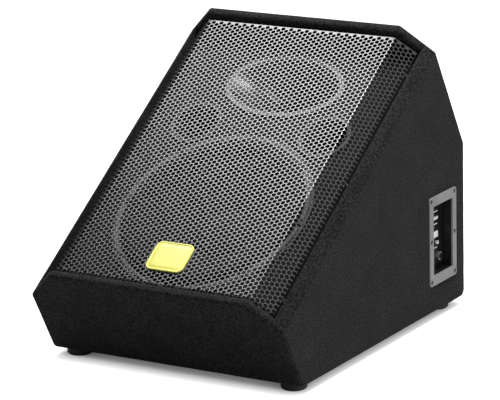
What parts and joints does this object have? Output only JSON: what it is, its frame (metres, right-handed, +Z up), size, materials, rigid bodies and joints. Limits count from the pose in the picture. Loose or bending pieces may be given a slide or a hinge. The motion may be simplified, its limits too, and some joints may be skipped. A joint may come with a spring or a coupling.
{
  "type": "stage monitor wedge",
  "caption": "Carpeted wedge-shaped stage floor monitor with a folded perforated steel grille, a 12-inch woofer, an elliptical horn, two ports and a recessed side socket panel.",
  "frame": {"origin": "middle of the footprint, on the floor", "axes": "+Z up; the grille and the short front face point to -Y; the socket panel is on the +X side"},
  "size_m": [0.403, 0.5444, 0.4269],
  "materials": {
    "carpet": "matte",
    "wood": "satin",
    "black_wood": "matte",
    "grille_steel": "satin",
    "black_steel": "satin",
    "zinc_steel": "satin",
    "chrome": "gloss",
    "panel_paint": "satin",
    "black_plastic": "matte",
    "tray_plastic": "gloss",
    "white_plastic": "gloss",
    "foot_rubber": "matte",
    "surround_foam": "matte",
    "cone_paper": "matte",
    "gasket_cork": "matte",
    "ferrite": "matte",
    "copper": "gloss",
    "spider_cloth": "matte",
    "wadding": "matte",
    "circuit": "satin",
    "brick": "matte",
    "film_can": "gloss",
    "lead_pvc": "satin",
    "dome_foil": "satin",
    "badge": "gloss"
  },
  "bodies": {
    "cabinet": {"right_side_board": "wood", "left_side_board": "wood", "rear_board": "wood", "top_back_board": "wood", "toe_board": "wood", "bottom_board": "wood", "right_carpet": "carpet", "left_carpet": "carpet", "carpet_wrap": "carpet", "baffle_board": "black_wood", "baffle_battens": "wood", "woofer_frame": "black_steel", "woofer_gasket": "gasket_cork", "woofer_screws": "zinc_steel", "woofer_surround": "surround_foam", "woofer_spider": "spider_cloth", "magnet_front_plate": "zinc_steel", "woofer_magnet": "ferrite", "pole_piece": "zinc_steel", "woofer_terminals": "black_plastic", "horn_flare": "tray_plastic", "driver_yoke": "zinc_steel", "driver_magnet_ring": "ferrite", "driver_top_plate": "zinc_steel", "phase_plug": "black_plastic", "diaphragm_ring": "dome_foil", "driver_cover": "black_plastic", "driver_bolts": "zinc_steel", "left_port_tube": "black_plastic", "right_port_tube": "black_plastic", "grille": "grille_steel", "grille_screws": "black_steel", "badge_plate": "badge", "badge_pins": "chrome", "rubber_feet": "foot_rubber", "foot_screws": "zinc_steel", "panel_frame": "panel_paint", "panel_screws": "black_steel", "recess_tray": "tray_plastic", "upper_speaker_socket": "black_plastic", "lower_speaker_socket": "black_plastic", "jack_socket": "black_plastic", "jack_nut": "chrome", "mode_switch_body": "black_plastic", "carrying_handle": "black_plastic", "handle_screws": "black_steel", "crossover_board": "circuit", "crossover_standoffs": "white_plastic", "crossover_coils": "copper", "crossover_capacitors": "film_can", "crossover_resistors": "brick", "damping_wadding": "wadding", "woofer_lead": "lead_pvc", "horn_lead": "lead_pvc", "input_lead": "lead_pvc"},
    "woofer_moving": {"woofer_cone": "cone_paper", "dust_cap": "cone_paper", "voice_coil": "copper"},
    "diaphragm_moving": {"driver_diaphragm": "dome_foil"},
    "switch_slider": {"mode_switch_slider": "white_plastic"}
  },
  "joints": [
    {"name": "woofer_travel", "type": "slide", "parent": "cabinet", "child": "woofer_moving", "axis": [0, -0.5519, 0.8339], "range_m": [-0.006, 0.006], "stiffness_N_per_m": 2000, "deforming": ["woofer_surround", "woofer_spider"]},
    {"name": "diaphragm_travel", "type": "slide", "parent": "cabinet", "child": "diaphragm_moving", "axis": [0, -0.5519, 0.8339], "range_m": [-0.0004, 0.0004], "stiffness_N_per_m": 1000, "deforming": ["diaphragm_ring"]},
    {"name": "mode_switch_slide", "type": "slide", "parent": "cabinet", "child": "switch_slider", "axis": [0, 0, 1], "range_m": [0, 0.0042]}
  ]
}
